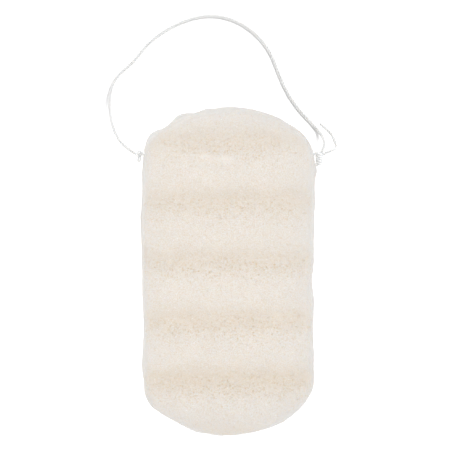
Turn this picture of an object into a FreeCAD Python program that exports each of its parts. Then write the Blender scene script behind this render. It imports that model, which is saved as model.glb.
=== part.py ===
"""Moulded foam body sponge with six waves and a knotted hanging string.

Frame: millimetres, +Z up. The sponge lies on its flat back at Z = 0 with its waves up, its length along Y and its
width along X, and the origin is under its middle. The string goes through the foam along X near the +Y end. It has a
knot outside each side wall, and between the knots a free loop lies on the surface beyond the +Y end.
"""

import FreeCAD, Part
import math
import os

import Sketcher
from FreeCAD import Placement, Rotation, Vector

DIMENSIONS = [
    ("sponge_length", 167.6, "length along Y at the back, before its edge is rounded"),
    ("sponge_width", 88.6, "width along X at the back, before its edge is rounded"),
    ("end_radius", 56.0, "radius of the two rounded ends"),
    ("corner_radius", 16.0, "radius that joins each end to a side"),
    ("crest_height", 31.0, "thickness at the crest of a wave"),
    ("wave_depth", 5.0, "from the crest of a wave to its valley"),
    ("wave_pitch", 29.8, "from one valley to the next"),
    ("wave_count", 7, "valley cuts, the outer two of them partly off the ends"),
    ("last_valley", -83.5, "Y of the valley at the -Y end"),
    ("valley_radius", 4.0, "radius at the bottom of a valley"),
    ("crest_radius", 19.0, "radius at the top of a crest"),
    ("wall_draft", 5.0, "degrees that the side walls lean in"),
    ("front_rounding", 5.0, "radius where the waves meet the side walls"),
    ("back_rounding", 3.0, "radius round the edge of the back"),
    ("channel_diameter", 2.2, "diameter of the channel that the string goes through"),
    ("channel_place", 59.4, "Y of the channel"),
    ("channel_height", 13.0, "height of the channel above the back"),
    ("string_diameter", 1.6, "diameter of the twisted string"),
    ("knot_radius", 1.9, "outer radius of a knot"),
    ("wrap_rounding", 0.75, "radius of one turn of a knot, seen in section"),
    ("knot_core_radius", 1.3, "radius of the string bundled inside a knot"),
    ("knot_gap", 0.05, "between the straight string and the knots"),
    ("left_knot_wraps", 3, "turns that show on the left knot"),
    ("left_knot_length", 3.6, "length of the left knot, which lies along X"),
    ("left_knot_face", -43.75, "X of the left knot's face beside the foam"),
    ("right_knot_wraps", 5, "turns that show on the right knot"),
    ("right_knot_length", 7.4, "length of the right knot, which lies along Y"),
    ("right_knot_place", 46.3, "X of the right knot's middle"),
    ("right_knot_top", 60.4, "Y of the right knot's +Y end"),
    ("stub_length", 2.8, "length of the short string end at the left knot"),
    ("stub_tip_radius", 1.2, "radius of the splayed tip of that end"),
]

# Routes of the free string: its centre line, point by point.
LOOP_ROUTE = [
    (-46.9, 59.8, 13.0),
    (-50.3, 61.8, 12.8),
    (-54.8, 66.0, 11.4),
    (-58.0, 72.4, 9.0),
    (-59.9, 80.6, 6.0),
    (-60.0, 89.6, 3.0),
    (-57.3, 98.8, 0.9),
    (-47.6, 106.6, 0.9),
    (-41.2, 115.4, 0.9),
    (-32.0, 122.6, 0.9),
    (-20.6, 128.2, 0.9),
    (-8.0, 130.7, 0.9),
    (4.0, 128.0, 0.9),
    (14.4, 121.2, 0.9),
    (21.8, 112.0, 0.9),
    (25.6, 102.0, 0.9),
    (29.6, 91.2, 0.9),
    (36.0, 81.2, 0.9),
    (42.4, 74.5, 1.2),
    (46.6, 69.8, 3.0),
    (48.6, 66.6, 7.4),
    (49.1, 63.4, 11.8),
    (47.4, 60.0, 13.0),
]
TAIL_ROUTE = [
    (47.5, 58.7, 13.0),
    (50.6, 60.2, 13.2),
    (52.9, 61.4, 11.8),
    (54.6, 62.1, 9.0),
    (55.3, 62.4, 5.6),
    (55.4, 63.6, 2.4),
    (54.4, 66.8, 0.9),
    (53.0, 69.6, 0.9),
    (50.6, 72.2, 0.9),
    (47.3, 74.9, 0.9),
]
ARC_SHARE = 0.45  # part of the shorter run that an arc takes at each of its ends
VOLUME_TOLERANCE = 0.01


def make_sheet(doc):
    """The spreadsheet of driving dimensions: what each one is, and its value under an alias."""
    sheet = doc.addObject("Spreadsheet::Sheet", "dims")
    for row, (alias, value, meaning) in enumerate(DIMENSIONS, start=1):
        sheet.set(f"A{row}", meaning)
        sheet.set(f"B{row}", str(value))
        sheet.setAlias(f"B{row}", alias)
    doc.recompute()
    return sheet


def origin_feature(body, role):
    """An origin plane or axis of a body, by its role."""
    return next(f for f in body.Origin.OriginFeatures if f.Role == role)


def new_sketch(body, name, plane):
    """An empty sketch on one of the body's own origin planes."""
    sketch = body.newObject("Sketcher::SketchObject", name)
    sketch.AttachmentSupport = [(origin_feature(body, plane), "")]
    sketch.MapMode = "FlatFace"
    return sketch


def drive(sketch, kind, places, name, expression, value):
    """Adds a dimension to a sketch and binds it to the spreadsheet."""
    index = sketch.addConstraint(Sketcher.Constraint(kind, *places, value))
    sketch.renameConstraint(index, name)
    sketch.setExpression(f"Constraints.{name}", expression)


def arc(centre_x, centre_y, radius, start_degrees, end_degrees):
    """An arc of a circle for a sketch, anticlockwise from its start."""
    circle = Part.Circle(Vector(centre_x, centre_y, 0), Vector(0, 0, 1), radius)
    return Part.ArcOfCircle(circle, math.radians(start_degrees), math.radians(end_degrees))


def draw_outline(sketch, sheet):
    """The sponge seen from above: straight sides, large end arcs and a corner arc between each two."""
    half_width = sheet.sponge_width / 2
    corner = sheet.corner_radius
    reach = sheet.end_radius - corner
    end_centre = sheet.sponge_length / 2 - sheet.end_radius
    corner_x = half_width - corner
    corner_y = end_centre + math.sqrt(reach**2 - corner_x**2)
    turn = math.degrees(math.asin((corner_y - end_centre) / reach))
    end = sheet.end_radius
    sketch.addGeometry(
        [
            Part.LineSegment(Vector(half_width, -corner_y, 0), Vector(half_width, corner_y, 0)),
            arc(corner_x, corner_y, corner, 0, turn),
            arc(0, end_centre, end, turn, 180 - turn),
            arc(-corner_x, corner_y, corner, 180 - turn, 180),
            Part.LineSegment(Vector(-half_width, corner_y, 0), Vector(-half_width, -corner_y, 0)),
            arc(-corner_x, -corner_y, corner, 180, 180 + turn),
            arc(0, -end_centre, end, 180 + turn, 360 - turn),
            arc(corner_x, -corner_y, corner, 360 - turn, 360),
        ],
        False,
    )
    right_side, left_side = 0, 4
    end_arcs = (2, 6)
    corner_arcs = (1, 3, 5, 7)
    for index in range(8):
        following = (index + 1) % 8
        sketch.addConstraint(Sketcher.Constraint("Tangent", index, 2, following, 1))
    sketch.addConstraint(Sketcher.Constraint("Vertical", right_side))
    sketch.addConstraint(Sketcher.Constraint("PointOnObject", end_arcs[0], 3, -2))
    sketch.addConstraint(Sketcher.Constraint("Symmetric", right_side, 1, left_side, 2, -2))
    sketch.addConstraint(Sketcher.Constraint("Symmetric", end_arcs[0], 3, end_arcs[1], 3, -1, 1))
    for index in corner_arcs[1:]:
        sketch.addConstraint(Sketcher.Constraint("Equal", corner_arcs[0], index))
    sketch.addConstraint(Sketcher.Constraint("Equal", *end_arcs))
    drive(sketch, "Radius", (corner_arcs[0],), "corner", "dims.corner_radius", corner)
    drive(sketch, "Radius", (end_arcs[0],), "end", "dims.end_radius", end)
    drive(sketch, "DistanceX", (left_side, 2, right_side, 1), "width", "dims.sponge_width", half_width * 2)
    drive(
        sketch,
        "DistanceY",
        (-1, 1, end_arcs[0], 3),
        "end_centre",
        "dims.sponge_length / 2 - dims.end_radius",
        end_centre,
    )


def draw_valley(sketch, sheet):
    """One valley, from crest to crest, closed by a box above: arcs for the crests and the valley, straight flanks."""
    half = sheet.wave_pitch / 2
    crest = sheet.crest_height
    valley = crest - sheet.wave_depth
    middle = sheet.last_valley
    radii = sheet.crest_radius + sheet.valley_radius
    # The flank touches both arcs, so its slope follows from the distance between their centres.
    between = math.hypot(half, radii - sheet.wave_depth)
    slope = math.degrees(math.atan2(half, radii - sheet.wave_depth) - math.acos(radii / between))
    lean = math.radians(slope)
    clearance = sheet.wave_depth
    crest_run = sheet.crest_radius * math.sin(lean)
    crest_drop = sheet.crest_radius * (1 - math.cos(lean))
    valley_run = sheet.valley_radius * math.sin(lean)
    valley_rise = sheet.valley_radius * (1 - math.cos(lean))
    left = Vector(middle - half, crest, 0)
    right = Vector(middle + half, crest, 0)
    left_flank = (
        Vector(left.x + crest_run, crest - crest_drop, 0),
        Vector(middle - valley_run, valley + valley_rise, 0),
    )
    right_flank = (
        Vector(middle + valley_run, valley + valley_rise, 0),
        Vector(right.x - crest_run, crest - crest_drop, 0),
    )
    lift = Vector(0, clearance, 0)
    sketch.addGeometry(
        [
            arc(left.x, crest - sheet.crest_radius, sheet.crest_radius, 90 - slope, 90),
            Part.LineSegment(*left_flank),
            arc(middle, valley + sheet.valley_radius, sheet.valley_radius, 270 - slope, 270 + slope),
            Part.LineSegment(*right_flank),
            arc(right.x, crest - sheet.crest_radius, sheet.crest_radius, 90, 90 + slope),
            Part.LineSegment(right, right + lift),
            Part.LineSegment(right + lift, left + lift),
            Part.LineSegment(left + lift, left),
        ],
        False,
    )
    left_crest, left_line, bottom, right_line, right_crest, right_wall, roof, left_wall = range(8)
    tangents = [
        (left_crest, 1, left_line, 1),
        (left_line, 2, bottom, 1),
        (bottom, 2, right_line, 1),
        (right_line, 2, right_crest, 2),
    ]
    for places in tangents:
        sketch.addConstraint(Sketcher.Constraint("Tangent", *places))
    corners = [
        (right_crest, 1, right_wall, 1),
        (right_wall, 2, roof, 1),
        (roof, 2, left_wall, 1),
        (left_wall, 2, left_crest, 2),
    ]
    for places in corners:
        sketch.addConstraint(Sketcher.Constraint("Coincident", *places))
    for wall in (right_wall, left_wall):
        sketch.addConstraint(Sketcher.Constraint("Vertical", wall))
    sketch.addConstraint(Sketcher.Constraint("Horizontal", roof))
    # Each crest arc's centre is straight below its end, so that neighbouring cuts meet level.
    sketch.addConstraint(Sketcher.Constraint("Vertical", left_crest, 3, left_crest, 2))
    sketch.addConstraint(Sketcher.Constraint("Vertical", right_crest, 3, right_crest, 1))
    drive(sketch, "Radius", (left_crest,), "left_crest", "dims.crest_radius", sheet.crest_radius)
    drive(sketch, "Radius", (right_crest,), "right_crest", "dims.crest_radius", sheet.crest_radius)
    drive(sketch, "Radius", (bottom,), "valley", "dims.valley_radius", sheet.valley_radius)
    drive(sketch, "DistanceX", (-1, 1, bottom, 3), "middle", "dims.last_valley", middle)
    drive(
        sketch,
        "DistanceX",
        (left_crest, 2, bottom, 3),
        "left_half",
        "dims.wave_pitch / 2",
        half,
    )
    drive(
        sketch,
        "DistanceX",
        (bottom, 3, right_crest, 1),
        "right_half",
        "dims.wave_pitch / 2",
        half,
    )
    drive(sketch, "DistanceY", (-1, 1, left_crest, 2), "left_top", "dims.crest_height", crest)
    drive(sketch, "DistanceY", (-1, 1, right_crest, 1), "right_top", "dims.crest_height", crest)
    drive(
        sketch,
        "DistanceY",
        (-1, 1, bottom, 3),
        "bottom_centre",
        "dims.crest_height - dims.wave_depth + dims.valley_radius",
        valley + sheet.valley_radius,
    )
    drive(sketch, "DistanceY", (left_crest, 2, left_wall, 1), "lift", "dims.wave_depth", clearance)


def edges_where(shape, wanted):
    """The names of the shape's edges that pass a test."""
    return [f"Edge{i}" for i, edge in enumerate(shape.Edges, start=1) if wanted(edge, shape)]


def on_back(edge, shape):
    """Whether an edge lies in the plane of the back."""
    return edge.BoundBox.ZMax < 0.01


def on_front(edge, shape):
    """Whether an edge is where a wave face meets a side wall."""
    faces = shape.ancestorsOfType(edge, Part.Face)
    levels = sorted(face.BoundBox.ZMin for face in faces)
    return len(levels) == 2 and levels[0] < 5 and levels[1] > 15


def make_sponge(doc, sheet):
    """The foam body: a drafted pad, rounded at the back, with the waves cut across it and the string's channel."""
    body = doc.addObject("PartDesign::Body", "sponge_body")
    outline = new_sketch(body, "outline", "XY_Plane")
    draw_outline(outline, sheet)
    doc.recompute()
    slab = body.newObject("PartDesign::Pad", "slab")
    slab.Profile = outline
    slab.setExpression("Length", "dims.crest_height + dims.wave_depth / 8")
    slab.setExpression("TaperAngle", "-dims.wall_draft")
    doc.recompute()
    back = body.newObject("PartDesign::Fillet", "back_edge")
    back.Base = (slab, edges_where(slab.Shape, on_back))
    back.setExpression("Radius", "dims.back_rounding")
    doc.recompute()
    valley = new_sketch(body, "valley", "YZ_Plane")
    draw_valley(valley, sheet)
    doc.recompute()
    cut = body.newObject("PartDesign::Pocket", "valley_cut")
    cut.Profile = valley
    cut.Type = "ThroughAll"
    cut.Midplane = True
    doc.recompute()
    waves = body.newObject("PartDesign::LinearPattern", "waves")
    waves.Originals = [cut]
    waves.Direction = (valley, ["H_Axis"])
    waves.setExpression("Occurrences", "dims.wave_count")
    waves.setExpression("Length", "(dims.wave_count - 1) * dims.wave_pitch")
    body.Tip = waves
    doc.recompute()
    front = body.newObject("PartDesign::Fillet", "front_edge")
    front.Base = (waves, edges_where(waves.Shape, on_front))
    front.setExpression("Radius", "dims.front_rounding")
    doc.recompute()
    channel = new_sketch(body, "channel", "YZ_Plane")
    place = Vector(sheet.channel_place, sheet.channel_height, 0)
    channel.addGeometry(Part.Circle(place, Vector(0, 0, 1), sheet.channel_diameter / 2), False)
    drive(channel, "Diameter", (0,), "bore", "dims.channel_diameter", sheet.channel_diameter)
    drive(channel, "DistanceX", (-1, 1, 0, 3), "across", "dims.channel_place", place.x)
    drive(channel, "DistanceY", (-1, 1, 0, 3), "up", "dims.channel_height", place.y)
    doc.recompute()
    bore = body.newObject("PartDesign::Pocket", "string_channel")
    bore.Profile = channel
    bore.Type = "ThroughAll"
    bore.Midplane = True
    body.Tip = bore
    doc.recompute()
    check_volumes_fall(slab, back, cut, waves, front, bore)
    return body


def check_volumes_fall(*features):
    """Each feature after the first takes some foam away: a cut that misses the solid shows no error."""
    for before, after in zip(features, features[1:]):
        if not after.Shape.Volume < before.Shape.Volume:
            raise RuntimeError(f"{after.Name} removes nothing")


def make_core(doc, sheet):
    """The straight string inside the channel, between the two knots."""
    core = doc.addObject("Part::Cylinder", "string_through")
    core.setExpression("Radius", "dims.string_diameter / 2")
    core.setExpression(
        "Height",
        "dims.right_knot_place - dims.knot_radius - dims.left_knot_face - 2 * dims.knot_gap",
    )
    start = Vector(sheet.left_knot_face + sheet.knot_gap, sheet.channel_place, sheet.channel_height)
    core.Placement = Placement(start, Rotation(Vector(0, 1, 0), 90))
    return core


def make_knot(doc, name, side, wraps, placement):
    """A knot: a core with the string's turns stacked along it. Its own Z is its length."""
    core = doc.addObject("Part::Cylinder", f"{side}_core")
    core.setExpression("Radius", "dims.knot_core_radius")
    core.setExpression("Height", f"dims.{side}_knot_length - dims.wrap_rounding")
    core.setExpression("Placement.Base.z", "dims.wrap_rounding / 2")
    pieces = [core]
    for index in range(wraps):
        wrap = doc.addObject("Part::Torus", f"{side}_wrap_{index + 1}")
        wrap.setExpression("Radius1", "dims.knot_radius - dims.wrap_rounding")
        wrap.setExpression("Radius2", "dims.wrap_rounding")
        wrap.setExpression(
            "Placement.Base.z",
            f"dims.wrap_rounding + {index} * (dims.{side}_knot_length - 2 * dims.wrap_rounding)"
            f" / (dims.{side}_knot_wraps - 1)",
        )
        pieces.append(wrap)
    knot = doc.addObject("Part::MultiFuse", name)
    knot.Shapes = pieces
    knot.Placement = placement
    return knot


def make_left_knot(doc, sheet):
    """The knot at the -X side, with its length along -X."""
    face = Vector(sheet.left_knot_face, sheet.channel_place, sheet.channel_height)
    placement = Placement(face, Rotation(Vector(0, 0, 1), Vector(-1, 0, 0)))
    return make_knot(doc, "left_knot", "left", int(sheet.left_knot_wraps), placement)


def make_right_knot(doc, sheet):
    """The knot at the +X side, which lies along -Y."""
    top = Vector(sheet.right_knot_place, sheet.right_knot_top, sheet.channel_height)
    placement = Placement(top, Rotation(Vector(0, 0, 1), Vector(0, -1, 0)))
    return make_knot(doc, "right_knot", "right", int(sheet.right_knot_wraps), placement)


def make_stub(doc, sheet):
    """The short cut end of the string at the left knot, which splays towards its tip."""
    stub = doc.addObject("Part::Cone", "left_tail")
    stub.setExpression("Radius1", "dims.string_diameter / 2")
    stub.setExpression("Radius2", "dims.stub_tip_radius")
    stub.setExpression("Height", "dims.stub_length")
    root = Vector(
        sheet.left_knot_face - sheet.left_knot_length / 2,
        sheet.channel_place - sheet.knot_core_radius,
        sheet.channel_height,
    )
    stub.Placement = Placement(root, Rotation(Vector(0, 0, 1), Vector(0, -1, 0)))
    return stub


def rounded_path(name, route):
    """Straight runs between the points of a route, joined by arcs as large as the runs allow."""
    points = [Vector(*place) for place in route]
    edges = []
    radii = []
    start = points[0]
    for before, corner, after in zip(points, points[1:], points[2:]):
        back = (before - corner).normalize()
        ahead = (after - corner).normalize()
        half_turn = (math.pi - back.getAngle(ahead)) / 2
        shorter = min(before.distanceToPoint(corner), corner.distanceToPoint(after))
        reach = ARC_SHARE * shorter
        radius = reach / math.tan(half_turn)
        arc_start = corner + back * reach
        arc_end = corner + ahead * reach
        inward = (back + ahead).normalize()
        middle = corner + inward * (radius / math.cos(half_turn) - radius)
        edges.append(Part.LineSegment(start, arc_start).toShape())
        edges.append(Part.Arc(arc_start, middle, arc_end).toShape())
        radii.append(radius)
        start = arc_end
    edges.append(Part.LineSegment(start, points[-1]).toShape())
    path = Part.Wire(edges)
    print(f"{name}: length {path.Length:.1f} mm, radii " + " ".join(f"{radius:.1f}" for radius in radii))
    return path


def make_tube(doc, sheet, name, route):
    """A stretch of free string: a round section swept along its route."""
    path = rounded_path(name, route)
    radius = sheet.string_diameter / 2
    start = Vector(*route[0])
    heading = Vector(*route[1]) - start
    section = Part.Wire([Part.Circle(start, heading, radius).toShape()])
    tube = doc.addObject("Part::Feature", name)
    tube.Shape = path.makePipeShell([section], True, False)
    expected = math.pi * radius**2 * path.Length
    if abs(tube.Shape.Volume / expected - 1) > VOLUME_TOLERANCE:
        raise RuntimeError(f"{name}: volume {tube.Shape.Volume:.1f}, expected {expected:.1f}")
    tube.Placement = Placement()
    return tube


def check_and_export(doc, pieces):
    """Stops on any failed object or bad shape, then writes one STEP file for each piece."""
    for thing in doc.Objects:
        if {"Invalid", "Error"} & set(thing.State):
            raise RuntimeError(f"{thing.Name}: {thing.State} {thing.getStatusString()}")
    for piece in pieces:
        if piece.Shape.isNull() or not piece.Shape.isValid():
            raise RuntimeError(f"{piece.Label}: bad shape")
    os.makedirs("parts", exist_ok=True)
    for piece in pieces:
        piece.Shape.exportStep(f"parts/{piece.Label}.step")
        print(f"{piece.Label}: {piece.Shape.Volume / 1000:.3f} cm3, {len(piece.Shape.Solids)} solid")


def main():
    doc = FreeCAD.newDocument("body_sponge")
    sheet = make_sheet(doc)
    pieces = [
        make_sponge(doc, sheet),
        make_core(doc, sheet),
        make_left_knot(doc, sheet),
        make_right_knot(doc, sheet),
        make_stub(doc, sheet),
        make_tube(doc, sheet, "hanging_loop", LOOP_ROUTE),
        make_tube(doc, sheet, "right_tail", TAIL_ROUTE),
    ]
    doc.recompute()
    check_and_export(doc, pieces)


main()
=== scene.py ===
"""A moulded foam body sponge with six soft waves and a knotted cotton string, seen from straight above.

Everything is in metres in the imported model's frame: the sponge lies on its flat back with its waves up
(+Z), its length along Y, and the string goes through it along X near its +Y end.
"""

import math

import bpy
import numpy as np
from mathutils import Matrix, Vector, kdtree, noise


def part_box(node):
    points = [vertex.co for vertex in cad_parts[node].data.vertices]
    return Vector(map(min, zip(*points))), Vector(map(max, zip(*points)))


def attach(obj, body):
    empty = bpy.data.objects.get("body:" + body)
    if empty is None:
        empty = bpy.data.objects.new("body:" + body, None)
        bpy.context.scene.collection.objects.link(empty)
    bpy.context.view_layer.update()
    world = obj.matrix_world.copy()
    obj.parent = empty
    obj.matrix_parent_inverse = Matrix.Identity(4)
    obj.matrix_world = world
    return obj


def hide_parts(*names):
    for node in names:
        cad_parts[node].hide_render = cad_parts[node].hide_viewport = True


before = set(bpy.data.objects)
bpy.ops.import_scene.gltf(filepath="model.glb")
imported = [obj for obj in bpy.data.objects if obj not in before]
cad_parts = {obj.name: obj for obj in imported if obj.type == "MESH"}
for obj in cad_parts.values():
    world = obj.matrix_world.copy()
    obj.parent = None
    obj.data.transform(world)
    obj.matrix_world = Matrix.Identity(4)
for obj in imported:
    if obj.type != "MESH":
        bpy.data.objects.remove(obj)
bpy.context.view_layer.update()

MM = 0.001
_, SPONGE_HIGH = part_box("sponge_body")
THREAD_LOW, THREAD_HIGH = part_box("string_through")
CHANNEL = (THREAD_LOW + THREAD_HIGH) / 2
LEFT_LOW, LEFT_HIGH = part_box("left_knot")
RIGHT_LOW, RIGHT_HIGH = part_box("right_knot")
STUB_LOW, STUB_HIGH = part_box("left_tail")

# The camera looks straight down, and its frame is this wide on the floor.
VIEW_WIDTH = 229.5 * MM
VIEW_CENTRE = (-1.3 * MM, 23.5 * MM)
LENS = 200
SENSOR = 36

# The direction of the light that gives the string's shadow on the paper.
HARD_LAMP = (0.52, 0.47, 1.0)
# The direction of the light that brightens the side of the string away from its shadow.
LOW_LAMP = (0.66, 0.6, 0.4)

STRING_DIAMETER = 1.6 * MM

# Control points of the free string's two stretches. They are the CAD's, but for the loop's last six before
# its end at the right knot, which are moved by 0.2 to 1.5 mm to lie as in the photograph.
LOOP_ROUTE = [
    (-0.0469, 0.0598, 0.0130),
    (-0.0503, 0.0618, 0.0128),
    (-0.0548, 0.0660, 0.0114),
    (-0.0580, 0.0724, 0.0090),
    (-0.0599, 0.0806, 0.0060),
    (-0.0600, 0.0896, 0.0030),
    (-0.0573, 0.0988, 0.0009),
    (-0.0476, 0.1066, 0.0009),
    (-0.0412, 0.1154, 0.0009),
    (-0.0320, 0.1226, 0.0009),
    (-0.0206, 0.1282, 0.0009),
    (-0.0080, 0.1307, 0.0009),
    (0.0040, 0.1280, 0.0009),
    (0.0144, 0.1212, 0.0009),
    (0.0218, 0.1120, 0.0009),
    (0.0256, 0.1020, 0.0009),
    (0.0301, 0.0914, 0.0009),
    (0.0366, 0.0818, 0.0009),
    (0.0432, 0.0751, 0.0009),
    (0.0473, 0.0704, 0.0018),
    (0.0489, 0.0668, 0.0066),
    (0.0491, 0.0634, 0.0116),
    (0.0474, 0.0600, 0.0130),
]
TAIL_ROUTE = [
    (0.0475, 0.0587, 0.0130),
    (0.0506, 0.0602, 0.0132),
    (0.0529, 0.0614, 0.0118),
    (0.0546, 0.0621, 0.0090),
    (0.0553, 0.0624, 0.0056),
    (0.0554, 0.0636, 0.0024),
    (0.0544, 0.0668, 0.0009),
    (0.0530, 0.0696, 0.0009),
    (0.0506, 0.0722, 0.0009),
    (0.0473, 0.0749, 0.0009),
]


def link(thing):
    bpy.context.scene.collection.objects.link(thing)
    return thing


# ---------------------------------------------------------------- camera, light and floor


def make_camera():
    """A long lens straight above, with the string's end of the sponge at the top of the picture."""
    data = bpy.data.cameras.new("camera")
    data.lens = LENS
    data.sensor_width = SENSOR
    camera = link(bpy.data.objects.new("camera", data))
    height = VIEW_WIDTH * LENS / SENSOR
    camera.location = (*VIEW_CENTRE, height)
    data.clip_start = height / 100
    data.clip_end = height * 10
    bpy.context.scene.camera = camera


def make_light():
    """Even light from all round, as in a light tent, with a weak soft lamp high above."""
    world = bpy.data.worlds.new("tent")
    bpy.context.scene.world = world
    world.use_nodes = True
    background = world.node_tree.nodes["Background"]
    background.inputs["Color"].default_value = (1.0, 1.0, 1.0, 1)
    background.inputs["Strength"].default_value = 1.05
    make_lamp("soft_lamp", (0.0, 0.1, 1.0), 0.3, 40)
    bpy.context.scene.view_settings.view_transform = "Standard"


def make_lamp(name, towards, strength, width):
    """A sun lamp in a direction, as wide as the given angle."""
    lamp = bpy.data.lights.new(name, "SUN")
    lamp.energy = strength
    lamp.angle = math.radians(width)
    sun = link(bpy.data.objects.new(name, lamp))
    sun.rotation_mode = "QUATERNION"
    sun.rotation_quaternion = Vector(towards).to_track_quat("Z", "Y")
    return sun


def link_lamp(sun, receivers, blockers):
    """Makes a lamp light only the receivers, and only the blockers shade it."""
    for name, things in (("receiver", receivers), ("blocker", blockers)):
        group = bpy.data.collections.new(f"{sun.name}_{name}")
        for thing in things:
            group.objects.link(thing)
        setattr(sun.light_linking, f"{name}_collection", group)


def make_floor_lamp(floor, loop):
    """A harder lamp that lights the floor alone, and that only the loop of string shades."""
    sun = make_lamp("floor_lamp", HARD_LAMP, 6.4, 34)
    link_lamp(sun, [floor], [loop])


def make_string_lamps(free, knots):
    """Lamps for the string alone: from below, in place of the white paper's light, and from the side.

    The knots, which stand clear of the paper, get more from below than the free string does.
    """
    everything = free + knots
    for name, pieces, glow, side, strength in (
        ("free", free, 0.7, LOW_LAMP, 0.55),
        ("knot", knots, 1.8, HARD_LAMP, 0.5),
    ):
        link_lamp(make_lamp(f"{name}_glow", (0.0, 0.0, -1.0), glow, 140), pieces, everything)
        link_lamp(make_lamp(f"{name}_lamp", side, strength, 34), pieces, everything)


def make_floor():
    """A plain white sheet just under the sponge. It takes shadows, and sends no light back."""
    half = 3.0
    low = -0.1 * MM
    mesh = bpy.data.meshes.new("floor")
    mesh.from_pydata(
        [(-half, -half, low), (half, -half, low), (half, half, low), (-half, half, low)], [], [(0, 1, 2, 3)]
    )
    floor = link(bpy.data.objects.new("floor", mesh))
    paper = bpy.data.materials.new("white_paper")
    paper.use_nodes = True
    shader = paper.node_tree.nodes["Principled BSDF"]
    shader.inputs["Base Color"].default_value = (0.55, 0.55, 0.55, 1)
    shader.inputs["Roughness"].default_value = 0.9
    mesh.materials.append(paper)
    floor.visible_diffuse = False
    return floor


# ---------------------------------------------------------------- string


def smooth_line(route):
    """Points along a route's smooth line: a NURBS spline with the route's points as its control points."""
    curve = bpy.data.curves.new("line", "CURVE")
    curve.dimensions = "3D"
    spline = curve.splines.new("NURBS")
    spline.points.add(len(route) - 1)
    for point, place in zip(spline.points, route):
        point.co = (*place, 1)
    spline.order_u = 3
    spline.use_endpoint_u = True
    spline.resolution_u = 24
    holder = link(bpy.data.objects.new("line", curve))
    mesh = bpy.data.meshes.new_from_object(holder)
    points = np.array([vertex.co for vertex in mesh.vertices])
    bpy.data.objects.remove(holder)
    bpy.data.meshes.remove(mesh)
    bpy.data.curves.remove(curve)
    return points


def even_steps(points, step):
    """The same line with its points about a step apart."""
    run = np.concatenate([[0], np.cumsum(np.linalg.norm(np.diff(points, axis=0), axis=1))])
    count = max(2, int(round(run[-1] / step)) + 1)
    places = np.linspace(0, run[-1], count)
    return np.column_stack([np.interp(places, run, points[:, axis]) for axis in range(3)]), places


def carried_frames(points, closed=False):
    """Tangent and two side directions at each point, turned as little as possible along the line."""
    ahead = np.roll(points, -1, axis=0) - np.roll(points, 1, axis=0)
    if not closed:
        ahead[0] = points[1] - points[0]
        ahead[-1] = points[-1] - points[-2]
    ahead /= np.linalg.norm(ahead, axis=1)[:, None]
    side = np.zeros_like(points)
    first = np.cross(ahead[0], (0, 0, 1))
    if np.linalg.norm(first) < 1e-3:
        first = np.cross(ahead[0], (0, 1, 0))
    side[0] = first / np.linalg.norm(first)
    for i in range(1, len(points)):
        moved = side[i - 1] - ahead[i] * np.dot(side[i - 1], ahead[i])
        side[i] = moved / np.linalg.norm(moved)
    return ahead, side, np.cross(ahead, side)


class Soup:
    """Vertices and faces of several tubes, gathered into one mesh."""

    def __init__(self):
        self.vertices = []
        self.faces = []
        self.count = 0

    def tube(self, line, radii, sides, closed=False):
        """A tube along a line, of the given radius at each point, capped unless it closes on itself."""
        _, side, up = carried_frames(line, closed)
        angles = np.linspace(0, 2 * math.pi, sides, endpoint=False)
        ring = np.cos(angles)[None, :, None] * side[:, None, :]
        ring = ring + np.sin(angles)[None, :, None] * up[:, None, :]
        rings = line[:, None, :] + ring * np.asarray(radii)[:, None, None]
        base = self.count
        rows = len(line)
        self.vertices.append(rings.reshape(-1, 3))
        self.count += rows * sides
        for row in range(rows if closed else rows - 1):
            here = base + row * sides
            there = base + (row + 1) % rows * sides
            for k in range(sides):
                following = (k + 1) % sides
                self.faces.append((here + k, here + following, there + following, there + k))
        if not closed:
            self.faces.append(tuple(base + k for k in reversed(range(sides))))
            last = base + (rows - 1) * sides
            self.faces.append(tuple(last + k for k in range(sides)))

    def piece(self, name, material):
        """A smooth-shaded object made of what was gathered."""
        mesh = bpy.data.meshes.new(name)
        mesh.from_pydata(np.concatenate(self.vertices).tolist(), [], self.faces)
        mesh.materials.append(material)
        mesh.polygons.foreach_set("use_smooth", [True] * len(mesh.polygons))
        return link(bpy.data.objects.new(name, mesh))


PLIES = 3
PLY_PITCH = 4.6 * MM
STRAND_SIDES = 8
STRAND_STEP = 0.3 * MM


def twist(
    soup, points, diameter=STRING_DIAMETER, closed=False, start_taper=1.0, end_taper=1.0, snug=0.0
):
    """Plies twisted round each other along a line, each one a tube. Snug plies sink into each other."""
    line, places = even_steps(points, STRAND_STEP)
    if closed:
        line, places = line[:-1], places[:-1]
    _, side, up = carried_frames(line, closed)
    total = places[-1]
    turns = 2 * math.pi * places / PLY_PITCH
    if closed:
        # a whole number of turns, and the frames' own twist is spread along the line, so that the ends meet
        whole = 2 * math.pi * round(total / PLY_PITCH)
        gap = math.atan2(np.dot(side[-1], up[0]), np.dot(side[-1], side[0]))
        turns = (whole - gap) * np.arange(len(line)) / len(line)
    shrink = np.interp(places / total, [0, 0.06, 0.94, 1], [start_taper, 1, 1, end_taper])
    centre_radius = diameter * (0.25 - 0.09 * snug) * shrink
    ply_radius = diameter * (0.28 + 0.07 * snug) * shrink
    for ply in range(PLIES):
        angle = turns + 2 * math.pi * ply / PLIES
        uneven = 1 + 0.06 * np.sin(places / (2.3 * MM) + 2.1 * ply)
        uneven += 0.04 * np.sin(places / (0.9 * MM) + ply)
        strand = line + centre_radius[:, None] * (
            np.cos(angle)[:, None] * side + np.sin(angle)[:, None] * up
        )
        soup.tube(strand, ply_radius * uneven, STRAND_SIDES, closed)
    return line


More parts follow.
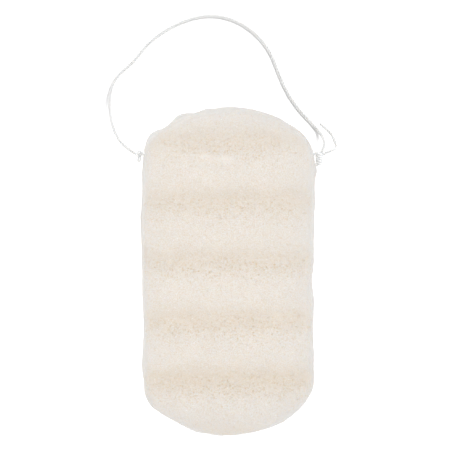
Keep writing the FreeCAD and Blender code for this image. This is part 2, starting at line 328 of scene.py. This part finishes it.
def loose_fibres(soup, line, count, rng, length):
    """Short thin fibres that stand off the string at random places."""
    ahead, side, up = carried_frames(line)
    for _ in range(count):
        i = rng.integers(1, len(line) - 1)
        angle = rng.uniform(0, 2 * math.pi)
        outward = math.cos(angle) * side[i] + math.sin(angle) * up[i]
        lean = ahead[i] * rng.uniform(-1.6, 1.6) + outward
        lean /= np.linalg.norm(lean)
        size = rng.uniform(0.4, 1.0) * length
        curl = rng.normal(size=3) * 0.35
        share = np.linspace(0, 1, 5)[:, None]
        start = line[i] + outward * STRING_DIAMETER * 0.3
        fibre = start + lean * size * share + curl * size * share**2
        fibre[:, 2] = np.maximum(fibre[:, 2], 0.05 * MM)
        soup.tube(fibre, np.linspace(0.03, 0.012, 5) * MM, 3)


def ride_as_string(piece, body, *nodes):
    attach(piece, body)
    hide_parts(*nodes)
    return piece


def make_loop(cotton):
    """The free loop between the knots."""
    points = smooth_line(LOOP_ROUTE)
    soup = Soup()
    line = twist(soup, points)
    rng = np.random.default_rng(11)
    loose_fibres(soup, line, 260, rng, 1.3 * MM)
    loop = ride_as_string(soup.piece("string_loop", cotton), "loop", "hanging_loop")
    return loop, line


def make_tail(cotton):
    """The loose tail at the right knot, with its cut end fraying."""
    points = smooth_line(TAIL_ROUTE)
    soup = Soup()
    line = twist(soup, points, diameter=1.45 * MM, end_taper=0.8)
    rng = np.random.default_rng(12)
    loose_fibres(soup, line, 40, rng, 1.3 * MM)
    ahead = line[-1] - line[-4]
    ahead /= np.linalg.norm(ahead)
    for _ in range(40):
        away = ahead + rng.normal(size=3) * 0.28
        share = np.linspace(0, 1, 6)[:, None]
        start = line[-3] + rng.normal(size=3) * 0.22 * MM
        fibre = start + away * rng.uniform(0.8, 1.7) * MM * share
        fibre = fibre + rng.normal(size=3) * 0.25 * MM * share**2
        fibre[:, 2] = np.maximum(fibre[:, 2], 0.06 * MM)
        soup.tube(fibre, np.linspace(0.05, 0.02, 6) * MM, 4)
    tail = ride_as_string(soup.piece("string_tail", cotton), "loop", "right_tail")
    return tail, line


def make_core(cotton):
    """The straight string inside the channel, which shows only between the foam and the knots."""
    ends = np.array([(x, CHANNEL.y, CHANNEL.z) for x in (THREAD_LOW.x, THREAD_HIGH.x)])
    soup = Soup()
    twist(soup, ends, diameter=STRING_DIAMETER * 0.97, snug=1.0)
    return ride_as_string(soup.piece("string_core", cotton), "thread", "string_through")


def trefoil(centre, size, flatness, turn):
    """A closed overhand knot's line: three lobes that pass over and under each other."""
    t = np.linspace(0, 2 * math.pi, 160)
    across = np.sin(t) + 2 * np.sin(2 * t)
    along = np.cos(t) - 2 * np.cos(2 * t)
    flat = np.column_stack([across, along, -flatness * np.sin(3 * t)]) * (size / 3)
    return np.array([turn @ Vector(p) for p in flat]) + np.array(centre)


def make_left_knot(cotton):
    """A single overhand knot, pulled tight against the foam."""
    centre = (LEFT_LOW + LEFT_HIGH) / 2 + Vector((0.8 * MM, 0, 0))
    soup = Soup()
    turn = Vector((0.4, -0.5, 1.0)).to_track_quat("Z", "Y").to_matrix()
    twist(soup, trefoil(centre, 1.3 * MM, 1.25, turn), diameter=1.85 * MM, closed=True, snug=1.4)
    return ride_as_string(soup.piece("knot_left", cotton), "loop", "left_knot")


def make_right_knot(cotton):
    """A barrel knot: the string wound round itself, turn beside turn."""
    centre = (RIGHT_LOW + RIGHT_HIGH) / 2
    length = RIGHT_HIGH.y - RIGHT_LOW.y
    wraps = 4.5
    t = np.linspace(0, 1, 220)
    angle = 2 * math.pi * wraps * t
    radius = (1.02 + 0.12 * np.sin(math.pi * t)) * MM
    along = RIGHT_HIGH.y - 0.8 * MM - (length - 1.6 * MM) * t
    coil = np.column_stack([centre.x + radius * np.cos(angle), along, centre.z + radius * np.sin(angle)])
    soup = Soup()
    twist(soup, coil, diameter=1.65 * MM, start_taper=0.8, end_taper=0.8, snug=1.4)
    ends = (RIGHT_HIGH.y - 0.2 * MM, RIGHT_LOW.y + 0.5 * MM)
    core = np.array([(centre.x, y, centre.z) for y in ends])
    twist(soup, core, diameter=1.4 * MM)
    # the turn that goes into the sponge stands up beside the wraps
    neck = np.array([(x, CHANNEL.y, CHANNEL.z) for x in (RIGHT_LOW.x + 0.3 * MM, centre.x)])
    twist(soup, neck, diameter=2.6 * MM, start_taper=0.85, snug=1.4)
    return ride_as_string(soup.piece("knot_right", cotton), "loop", "right_knot")


def make_stub(cotton):
    """The short cut end at the left knot, pulled out into a small tuft."""
    middle = (STUB_LOW + STUB_HIGH) / 2
    root = np.array((middle.x + 0.7 * MM, STUB_HIGH.y, middle.z))
    rng = np.random.default_rng(13)
    soup = Soup()
    share = np.linspace(0, 1, 9)
    for k in range(6):
        # lobes of fibre, side by side, that swell and close again
        angle = 2 * math.pi * k / 6
        lean = np.array((0.5 * math.cos(angle), -2.6, 0.5 * math.sin(angle))) * MM
        start = root + np.array((math.cos(angle), 0, math.sin(angle))) * 0.3 * MM
        radii = (0.2 + 0.65 * np.sin(math.pi * share**0.8) ** 0.7) * MM
        soup.tube(start + lean * share[:, None], radii, 10)
    for _ in range(60):
        away = rng.normal(size=3)
        away = np.array((0, -0.9, 0)) + away / np.linalg.norm(away)
        start = root + (0, -1.6 * MM, 0) + away * 0.5 * MM
        curl = rng.normal(size=3) * 0.4 * MM
        bend = np.linspace(0, 1, 5)[:, None]
        soup.tube(start + away * rng.uniform(0.4, 0.8) * MM * bend + curl * bend**2, [0.04 * MM] * 5, 3)
    return ride_as_string(soup.piece("stub_left", cotton), "loop", "left_tail")


def make_string(cotton, knot_cotton_painted_paler):
    """The knotted string, as two free cords with the knots on them.

    Gives its free pieces, then the others.
    """
    core = make_core(knot_cotton_painted_paler)
    left = make_left_knot(knot_cotton_painted_paler)
    right = make_right_knot(knot_cotton_painted_paler)
    stub = make_stub(knot_cotton_painted_paler)
    loop, loop_line = make_loop(cotton)
    tail, tail_line = make_tail(cotton)
    return [loop, tail], [core, left, right, stub]


def cotton_material(name, dark, pale, softness):
    """White twisted cotton: soft, matte, with fine streaks between two greys."""
    material = bpy.data.materials.new(name)
    material.use_nodes = True
    nodes, links = material.node_tree.nodes, material.node_tree.links
    shader = nodes["Principled BSDF"]
    shader.inputs["Roughness"].default_value = 0.85
    shader.inputs["Specular IOR Level"].default_value = 0.2
    shader.inputs["Sheen Weight"].default_value = 0.3
    shader.inputs["Sheen Roughness"].default_value = 0.5
    shader.inputs["Subsurface Weight"].default_value = 0.8
    shader.inputs["Subsurface Radius"].default_value = (1.0, 0.95, 0.9)
    shader.inputs["Subsurface Scale"].default_value = softness
    coordinates = nodes.new("ShaderNodeTexCoord")
    fibre = nodes.new("ShaderNodeTexNoise")
    fibre.inputs["Scale"].default_value = 2600
    fibre.inputs["Detail"].default_value = 4
    links.new(coordinates.outputs["Object"], fibre.inputs["Vector"])
    colour = nodes.new("ShaderNodeValToRGB")
    colour.color_ramp.elements[0].position = 0.3
    colour.color_ramp.elements[0].color = (dark, dark, dark * 0.985, 1)
    colour.color_ramp.elements[1].position = 0.7
    colour.color_ramp.elements[1].color = (pale, pale, pale * 0.99, 1)
    links.new(fibre.outputs["Fac"], colour.inputs["Fac"])
    links.new(colour.outputs["Color"], shader.inputs["Base Color"])
    bump = nodes.new("ShaderNodeBump")
    bump.inputs["Strength"].default_value = 0.35
    bump.inputs["Distance"].default_value = 0.1 * MM
    links.new(fibre.outputs["Fac"], bump.inputs["Height"])
    links.new(bump.outputs["Normal"], shader.inputs["Normal"])
    return material


# ---------------------------------------------------------------- foam

FOAM_VOXEL = 0.57 * MM
FOAM_TRIANGLES = 192000
END_RADIUS = 56 * MM
WAVE_PITCH = 29.8 * MM
LAST_VALLEY = -83.5 * MM
CHANNEL_RADIUS = 1.1 * MM
SEAM_HEIGHT = 9 * MM
PORES_ASIDE = -4.4 * MM
PIT_COUNT = 900

# Where the moulded edge stands out or falls in, seen from above. All in mm: place, how far outward, how
# wide, and how high up the wall it reaches.
EDGE_LUMPS = [
    (-38.8, 69.5, 1.7, 4.2, 14),
    (-31.3, 73.6, -0.7, 2.8, 14),
    (-24.0, 78.5, 1.4, 5.0, 14),
    (-16.0, 80.8, -0.6, 2.8, 14),
    (-7.0, 83.0, -0.6, 6.0, 14),
    (28.5, 77.0, 0.7, 6.0, 20),
    (38.0, 70.0, 0.7, 6.0, 20),
    (45.0, 50.5, 1.7, 5.0, 9),
    (44.2, 36.0, 0.2, 7.0, 30),
    (44.2, -5.0, -1.3, 8.0, 30),
    (44.2, -30.0, -0.7, 8.0, 30),
    (34.0, -73.0, -0.5, 8.0, 20),
    (41.0, -64.0, -0.8, 5.0, 20),
    (6.0, -83.0, -0.4, 14.0, 30),
    (-10.0, -82.6, -0.9, 4.0, 30),
    (-41.5, -63.0, -0.6, 4.5, 30),
    (-42.6, -57.5, -1.9, 4.8, 30),
    (-44.2, -28.0, -1.2, 20.0, 40),
    (-44.2, 6.0, -0.4, 10.0, 40),
    (-44.2, 42.0, -0.6, 9.0, 40),
    (-43.0, 57.5, -1.5, 6.0, 40),
]

# Brown marks on the foam, and painted highlights where the first wave faces the light, seen from above. All
# in mm but the last: place, half width, half height, strength.
BROWN_MARKS = [(-41.1, 10.2, 0.9, 4.2, 0.3), (-43.3, 18.5, 0.7, 6.0, 0.3)]
PAINTED_HIGHLIGHT_PLACES = [(-11.5, 57.4, 5.0, 1.8, 0.4), (-1.5, 56.4, 5.0, 1.8, 0.45)]


def soft_noise(points, size, seed):
    """Soft noise, mostly from -0.6 to 0.6, at each point, with features about the given size."""
    shift = Vector((seed * 17.31, seed * 5.13, seed * 9.77))
    return np.array([noise.fractal(Vector(p) + shift, 1.0, 2.0, 1) for p in (points / size).tolist()])


def ease(values, low, high):
    """0 below low, 1 above high, and smooth between."""
    t = np.clip((values - low) / (high - low), 0, 1)
    return t * t * (3 - 2 * t)


def applied(source):
    """The mesh of an object with its modifiers applied. The object goes."""
    graph = bpy.context.evaluated_depsgraph_get()
    mesh = bpy.data.meshes.new_from_object(source.evaluated_get(graph))
    blank = source.data
    bpy.data.objects.remove(source)
    bpy.data.meshes.remove(blank)
    return mesh


def read_vertices(mesh):
    """Places and normals of a mesh's vertices."""
    places = np.empty(len(mesh.vertices) * 3)
    mesh.vertices.foreach_get("co", places)
    normals = np.empty(len(mesh.vertices) * 3)
    mesh.vertex_normals.foreach_get("vector", normals)
    return places.reshape(-1, 3), normals.reshape(-1, 3)


def write_vertices(mesh, places):
    mesh.vertices.foreach_set("co", places.ravel())
    mesh.update()


def outward(points):
    """The level direction from the sponge's middle line towards its edge."""
    line = SPONGE_HIGH.y - END_RADIUS
    away = np.column_stack(
        [points[:, 0], points[:, 1] - np.clip(points[:, 1], -line, line), np.zeros(len(points))]
    )
    return away / np.maximum(np.linalg.norm(away, axis=1), 1e-6)[:, None]


def edge_depth(points):
    """Roughly how far each point is inside the sponge's outline, seen from above."""
    line = SPONGE_HIGH.y - END_RADIUS
    past = np.maximum(np.abs(points[:, 1]) - line, 0)
    end_depth = END_RADIUS - np.hypot(points[:, 0], past)
    return np.minimum(SPONGE_HIGH.x - np.abs(points[:, 0]), end_depth)


def off_valley(points):
    """How far each point is towards +Y from the nearest valley's bottom."""
    phase = (points[:, 1] - LAST_VALLEY) / WAVE_PITCH
    return (phase - np.round(phase)) * WAVE_PITCH


def valley_share(points, aside, reach):
    """1 in the valleys, or so far aside from their bottoms, and 0 on the crests."""
    return np.exp(-(((off_valley(points) - aside) / reach) ** 2)) * ease(points[:, 2], 14 * MM, 20 * MM)


def valley_tan_and_shade_share(points):
    """1 where the foam is tinted tan in the valleys: partly its own colour, partly painted shade. More so
    away from the string, as painted shade where the light falls off.
    """
    far = 0.75 + 0.5 * ease(-points[:, 1], 0, 50 * MM)
    return valley_share(points, 0.6 * MM, 6.0 * MM) * far


def pore_share(points):
    """1 where the open pores are densest: on the flanks beyond the valleys' bottoms, towards -Y.

    They thin out near the edges, and in the valley nearest the string sooner than in the others.
    """
    first = ease(points[:, 1], 50 * MM, 52 * MM)
    aside = np.abs(points[:, 0])
    middle = 1 - 0.65 * first * ease(aside, 16 * MM, 38 * MM)
    middle -= 0.4 * (1 - first) * ease(aside, 30 * MM, 42 * MM)
    return valley_share(points, PORES_ASIDE, 7.0 * MM) * middle


def rim_depth(points):
    """How far each point is inside the lumpy outline, seen from above."""
    return edge_depth(points) + np.sum(lumpy_edge(points) * outward(points), axis=1)


def near_edge(points):
    """1 at the outline and less further in, for the edge's painted shade and highlight lines. It reaches
    further in at the two ends and on the +X side.
    """
    right = ease(points[:, 0], 0, 25 * MM)
    reach = (5 + 3 * right + 5 * ease(np.abs(points[:, 1]), 58 * MM, 78 * MM)) * MM
    return np.exp(-np.maximum(rim_depth(points), 0) / reach)


def along_edge(points):
    """How far round the sponge's outline each point is, by its direction from the middle."""
    return np.arctan2(points[:, 1], points[:, 0]) * END_RADIUS


def edge_highlight_share(points):
    """How strongly the painted highlight lines show along the edge: most of all beside the left knot."""
    corner = ease(-points[:, 0], 6 * MM, 18 * MM) * ease(points[:, 1], 56 * MM, 66 * MM)
    return 0.15 + 0.85 * corner


def marks_and_highlights(points, places):
    """How strongly the brown marks, and the painted highlights, at the given places show."""
    shown = np.zeros(len(points))
    for x, y, width, height, strength in places:
        apart = ((points[:, 0] / MM - x) / width) ** 2 + ((points[:, 1] / MM - y) / height) ** 2
        shown += strength * np.exp(-apart)
    return shown * ease(points[:, 2], 12 * MM, 18 * MM)


def steepness(normals):
    """1 on the walls, 0 on the waves and the back."""
    return ease(np.hypot(normals[:, 0], normals[:, 1]), 0.55, 0.97)


def lumpy_edge(points):
    """How far the moulded edge's lumps move each point."""
    move = np.zeros_like(points)
    for x, y, stand, width, height in EDGE_LUMPS:
        centre = np.array([(x, y, 0)]) * MM
        apart = np.linalg.norm(points[:, :2] - centre[:, :2], axis=1)
        near = np.exp(-((apart / (width * MM)) ** 2))
        low_down = 1 - 0.85 * ease(points[:, 2], 0.25 * height * MM, height * MM)
        move += outward(centre) * (stand * MM * near * low_down)[:, None]
    return move


def parting_line(points, normals):
    """The wall below the mould's parting line stands out a little, unevenly along the edge."""
    level = points * (1, 1, 0)
    height = SEAM_HEIGHT + 2.0 * MM * soft_noise(level, 24 * MM, 3)
    below = 1 - ease(points[:, 2], height - 0.5 * MM, height + 0.5 * MM)
    lip = np.exp(-(((points[:, 2] - height) / (0.7 * MM)) ** 2))
    strength = np.clip(0.6 + 1.2 * soft_noise(level, 15 * MM, 4), 0.1, 1.2)
    stand = steepness(normals) * strength * (0.3 * MM * below + 0.35 * MM * lip)
    return outward(points) * stand[:, None]


def uneven_waves(points, normals):
    """Soft lumps and fine roughness of the foam's skin, along its normals."""
    high = ease(points[:, 2], 14 * MM, 24 * MM)
    sway = 2.0 * MM * soft_noise(points * (1, 0.5, 0), 32 * MM, 5) * high
    height = 0.7 * MM * soft_noise(points, 19 * MM, 6)
    height += 0.3 * MM * soft_noise(points, 6.5 * MM, 7)
    height += 0.16 * MM * soft_noise(points, 2.3 * MM, 8)
    height += 0.10 * MM * soft_noise(points, 1.2 * MM, 9)
    return normals * height[:, None] + np.column_stack([0 * sway, sway, 0 * sway])


def pits(points, normals, rng):
    """Open pores that are large enough to have a shape, most of them in the valleys."""
    tree = kdtree.KDTree(len(points))
    for i, place in enumerate(points.tolist()):
        tree.insert(place, i)
    tree.balance()
    chance = 0.07 + pore_share(points)
    chance *= points[:, 2] > 1.5 * MM
    move = np.zeros_like(points)
    for i in rng.choice(len(points), PIT_COUNT, replace=False, p=chance / chance.sum()):
        radius = (0.65 + 0.35 * rng.random() ** 2) * MM
        depth = radius * rng.uniform(0.24, 0.46)
        for _, k, distance in tree.find_range(points[i].tolist(), radius):
            move[k] -= normals[i] * depth * (1 - (distance / radius) ** 2) ** 2
    return move


def foam_mesh():
    """The CAD sponge in small even faces, with the foam's lumps, pores and moulded edge moved into it."""
    blank = link(bpy.data.objects.new("blank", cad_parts["sponge_body"].data.copy()))
    even = blank.modifiers.new("even", "REMESH")
    even.mode = "VOXEL"
    even.voxel_size = FOAM_VOXEL
    soft = blank.modifiers.new("soft", "SMOOTH")
    soft.factor = 0.5
    soft.iterations = 8
    mesh = applied(blank)
    points, normals = read_vertices(mesh)
    # everything fades out at the channel, which stays round, and at the back, which stays flat
    across = np.hypot(points[:, 1] - CHANNEL.y, points[:, 2] - CHANNEL.z)
    free = ease(across, 1.3 * MM, 2.6 * MM) * ease(points[:, 2], 0.3 * MM, 2.5 * MM)
    moved = points + lumpy_edge(points) + parting_line(points, normals)
    moved += uneven_waves(points, normals) * free[:, None]
    moved += pits(points, normals, np.random.default_rng(21)) * free[:, None]
    moved[:, 2] = np.clip(moved[:, 2], 0, None)
    inside = across < 1.25 * MM
    scale = CHANNEL_RADIUS / np.maximum(across[inside], 1e-6)
    moved[inside, 1] = CHANNEL.y + (points[inside, 1] - CHANNEL.y) * scale
    moved[inside, 2] = CHANNEL.z + (points[inside, 2] - CHANNEL.z) * scale
    write_vertices(mesh, moved)
    return mesh


def thinned(mesh, triangles):
    """The mesh with fewer faces on its back and walls, where they are not needed."""
    points, normals = read_vertices(mesh)
    holder = link(bpy.data.objects.new("thinned", mesh))
    group = holder.vertex_groups.new(name="coarse")
    back = (points[:, 2] < 0.01 * MM) & (edge_depth(points) > 6 * MM)
    walls = (steepness(normals) > 0.9) & (points[:, 2] > 3.5 * MM) & (points[:, 2] < 18 * MM)
    group.add(np.flatnonzero(walls).tolist(), 0.2, "REPLACE")
    group.add(np.flatnonzero(back).tolist(), 1.0, "REPLACE")
    fewer = holder.modifiers.new("fewer", "DECIMATE")
    fewer.vertex_group = "coarse"
    fewer.ratio = triangles / (2 * len(mesh.polygons))
    return applied(holder)


def point_values(mesh, name, values):
    """Stores a number at each vertex for the materials to read."""
    mesh.attributes.new(name, "FLOAT", "POINT").data.foreach_set("value", values.astype(np.float32))


def make_foam(material):
    """The whole sponge as one padded piece in the place of the CAD's sponge."""
    mesh = thinned(foam_mesh(), FOAM_TRIANGLES)
    points, normals = read_vertices(mesh)
    wall = steepness(normals)
    # the valleys' tan: partly the foam's own colour, partly painted shade
    point_values(mesh, "valley", valley_tan_and_shade_share(points) * (1 - 0.8 * wall))
    point_values(mesh, "pores", pore_share(points))
    point_values(mesh, "wall", wall)
    point_values(mesh, "rim", rim_depth(points))
    point_values(mesh, "near_edge", near_edge(points))
    point_values(mesh, "along", along_edge(points))
    # painted highlights: pale lines along the edge
    point_values(mesh, "drawn", edge_highlight_share(points) * (1 - 0.5 * wall))
    # painted shade: darker towards the end without the string, where the light falls off
    point_values(mesh, "far_end", ease(-points[:, 1], 20 * MM, 75 * MM))
    point_values(mesh, "brown_marks", marks_and_highlights(points, BROWN_MARKS))
    # painted highlight where the first wave faces the light
    point_values(mesh, "pale_marks", marks_and_highlights(points, PAINTED_HIGHLIGHT_PLACES))
    mesh.materials.clear()
    mesh.materials.append(material)
    mesh.polygons.foreach_set("use_smooth", [True] * len(mesh.polygons))
    foam = link(bpy.data.objects.new("foam_sponge", mesh))
    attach(foam, "sponge")
    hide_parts("sponge_body")


def chain(nodes, links, kind, *inputs, **settings):
    """A node with its settings, and its inputs by place: a number, colour, socket, or None to skip."""
    node = nodes.new(kind)
    for name, value in settings.items():
        setattr(node, name, value)
    for socket, value in zip(node.inputs, inputs):
        if isinstance(value, bpy.types.NodeSocket):
            links.new(value, socket)
        elif value is not None:
            socket.default_value = value
    return node


# The foam's colours, several of them painted light and shade.
GRAIN_DARK = (0.735, 0.64, 0.525, 1)
GRAIN_PALE = (0.826, 0.798, 0.768, 1)
# painted shade: a cool grey near the outline, where the edge slopes away from the light
RIM_PAINTED_SHADE = (0.69, 0.67, 0.65, 1)
# painted shade on the steep walls
WALL_PAINTED_SHADE = (0.70, 0.68, 0.65, 1)
# the valleys' tan: partly the foam's own colour, partly painted shade
VALLEY_TAN_AND_SHADE = (0.74, 0.61, 0.45, 1)
COOL_GREY = (0.70, 0.70, 0.69, 1)
FINE_PORE = (0.70, 0.57, 0.40, 1)
BROAD_PORE = (0.66, 0.50, 0.30, 1)
# painted highlight lines along the edge
EDGE_HIGHLIGHT_PAINT = (0.85, 0.85, 0.83, 1)
MARK_BROWN = (0.66, 0.52, 0.40, 1)
# painted highlight on the first wave
PAINTED_HIGHLIGHT = (0.87, 0.84, 0.80, 1)
# painted glints
PAINTED_GLINT = (0.91, 0.89, 0.87, 1)


def foam_material():
    """Off-white moulded foam: painted grey shade on the walls and at the rim, tan valleys that are partly
    painted shade, brown pores, painted highlights and small painted glints.
    """
    material = bpy.data.materials.new("foam")
    material.use_nodes = True
    nodes, links = material.node_tree.nodes, material.node_tree.links
    shader = nodes["Principled BSDF"]

    def math_node(operation, a, b=None, clamp=False):
        return chain(nodes, links, "ShaderNodeMath", a, b, operation=operation, use_clamp=clamp).outputs[0]

    def mix(share, a, b):
        node = chain(nodes, links, "ShaderNodeMix", data_type="RGBA")
        for socket, value in zip((node.inputs["Factor"], node.inputs[6], node.inputs[7]), (share, a, b)):
            if isinstance(value, bpy.types.NodeSocket):
                links.new(value, socket)
            else:
                socket.default_value = value
        return node.outputs[2]

    place = nodes.new("ShaderNodeTexCoord").outputs["Object"]

    def stored(name):
        return chain(nodes, links, "ShaderNodeAttribute", attribute_name=name).outputs["Fac"]

    def noise_field(size, detail):
        node = nodes.new("ShaderNodeTexNoise")
        links.new(place, node.inputs["Vector"])
        node.inputs["Scale"].default_value = 1 / size
        node.inputs["Detail"].default_value = detail
        return node.outputs["Fac"]

    valley = stored("valley")
    porous = stored("pores")
    wall = stored("wall")
    rim = stored("rim")
    near_edge = stored("near_edge")

    def pores(size, at_crest, at_valley):
        """Round pores, some larger than others, and more of them in the valleys: 1 in a pore's middle."""
        cells = nodes.new("ShaderNodeTexVoronoi")
        links.new(place, cells.inputs["Vector"])
        cells.inputs["Scale"].default_value = 1 / size
        chance = nodes.new("ShaderNodeSeparateColor")
        links.new(cells.outputs["Color"], chance.inputs["Color"])
        reach = math_node("MULTIPLY_ADD", porous, at_valley - at_crest)
        reach.node.inputs[2].default_value = at_crest
        own = math_node("MULTIPLY", math_node("POWER", chance.outputs[0], 2.0), reach)
        depth = math_node("SUBTRACT", own, cells.outputs["Distance"])
        return math_node("MULTIPLY", depth, 5.0, clamp=True)

    fine = pores(0.8 * MM, 0.5, 0.85)
    broad = pores(1.3 * MM, 0.10, 0.53)
    grain = noise_field(0.55 * MM, 2)
    tone = noise_field(1.1 * MM, 1)
    patch = noise_field(14 * MM, 2)

    ramp = nodes.new("ShaderNodeValToRGB")
    ramp.color_ramp.elements[0].position = 0.32
    ramp.color_ramp.elements[0].color = GRAIN_DARK
    ramp.color_ramp.elements[1].position = 0.68
    ramp.color_ramp.elements[1].color = GRAIN_PALE
    links.new(grain, ramp.inputs["Fac"])
    # painted shade: the colour is mixed towards a cool grey near the outline
    rim_painted_shade = mix(math_node("MULTIPLY", near_edge, 0.75), ramp.outputs["Color"], RIM_PAINTED_SHADE)
    # painted shade: the colour is mixed towards grey on the steep walls
    walls_painted_shade = mix(math_node("MULTIPLY", wall, 0.4), rim_painted_shade, WALL_PAINTED_SHADE)
    # painted shade in the valleys, together with the foam's own tan
    valleys_tan_and_shade = mix(math_node("MULTIPLY", valley, 0.31), walls_painted_shade, VALLEY_TAN_AND_SHADE)
    cool = mix(math_node("MULTIPLY", tone, 0.35), valleys_tan_and_shade, COOL_GREY)
    with_fine = mix(math_node("MULTIPLY", fine, 0.45), cool, FINE_PORE)
    with_pores = mix(math_node("MULTIPLY", broad, 0.5), with_fine, BROAD_PORE)

    # painted highlights: pale lines that follow the edge
    flow = nodes.new("ShaderNodeCombineXYZ")
    links.new(math_node("MULTIPLY", rim, 1 / (0.9 * MM)), flow.inputs[0])
    links.new(math_node("MULTIPLY", stored("along"), 1 / (14 * MM)), flow.inputs[1])
    lines = chain(nodes, links, "ShaderNodeTexNoise", flow.outputs[0])
    lines.inputs["Scale"].default_value = 1.0
    lines.inputs["Detail"].default_value = 1
    line_share = math_node("MULTIPLY", math_node("SUBTRACT", lines.outputs["Fac"], 0.5), 4.0, clamp=True)
    outer = math_node("MULTIPLY", math_node("SUBTRACT", near_edge, 0.45), 2.0, clamp=True)
    drawn = math_node("MULTIPLY", math_node("MULTIPLY", line_share, outer), stored("drawn"))
    with_edge_highlights = mix(drawn, with_pores, EDGE_HIGHLIGHT_PAINT)

    browned = mix(stored("brown_marks"), with_edge_highlights, MARK_BROWN)
    # painted highlight: pale patches where the first wave faces the light
    with_painted_highlights = mix(stored("pale_marks"), browned, PAINTED_HIGHLIGHT)

    # painted glints: small pale specks in the colour between the pores, standing in for highlights on the
    # skin
    skin = nodes.new("ShaderNodeTexVoronoi")
    links.new(place, skin.inputs["Vector"])
    skin.inputs["Scale"].default_value = 1 / (0.8 * MM)
    own_skin = nodes.new("ShaderNodeSeparateColor")
    links.new(skin.outputs["Color"], own_skin.inputs["Color"])
    chosen = math_node("GREATER_THAN", own_skin.outputs[1], 0.975)
    spot = math_node("MULTIPLY", math_node("SUBTRACT", 0.42, skin.outputs["Distance"]), 3.0, clamp=True)
    with_painted_glints = mix(math_node("MULTIPLY", chosen, spot), with_painted_highlights, PAINTED_GLINT)
    # uneven in soft patches, and a little darker towards the end without the string, which is painted shade
    # where the light falls off
    lightness = math_node("MULTIPLY_ADD", patch, 0.06)
    lightness.node.inputs[2].default_value = 0.963
    lightness = math_node("SUBTRACT", lightness, math_node("MULTIPLY", stored("far_end"), 0.027))
    shade = chain(nodes, links, "ShaderNodeVectorMath", with_painted_glints, None, operation="SCALE")
    links.new(lightness, shade.inputs["Scale"])
    links.new(shade.outputs[0], shader.inputs["Base Color"])
    rough = math_node("MULTIPLY_ADD", grain, 0.3)
    rough.node.inputs[2].default_value = 0.55
    links.new(rough, shader.inputs["Roughness"])
    shader.inputs["Specular IOR Level"].default_value = 0.25
    shader.inputs["Subsurface Weight"].default_value = 0.4
    shader.inputs["Subsurface Radius"].default_value = (1.0, 0.8, 0.6)
    shader.inputs["Subsurface Scale"].default_value = 1.5 * MM

    pore_depth = math_node("ADD", math_node("MULTIPLY", fine, 0.6), broad)
    relief = math_node("SUBTRACT", math_node("MULTIPLY", grain, 0.8), pore_depth)
    bump = nodes.new("ShaderNodeBump")
    bump.inputs["Strength"].default_value = 0.6
    bump.inputs["Distance"].default_value = 0.25 * MM
    links.new(relief, bump.inputs["Height"])
    links.new(bump.outputs["Normal"], shader.inputs["Normal"])
    return material


make_camera()
make_light()
floor = make_floor()
cotton = cotton_material("cotton", 0.70, 0.79, 0.9 * MM)
# the knots' cotton is the same cotton painted paler, for the extra light on the knots
knot_cotton_painted_paler = cotton_material("knot_cotton_painted_paler", 0.88, 0.94, 0.4 * MM)
free, knots = make_string(cotton, knot_cotton_painted_paler)
make_floor_lamp(floor, free[0])
make_string_lamps(free, knots)
make_foam(foam_material())
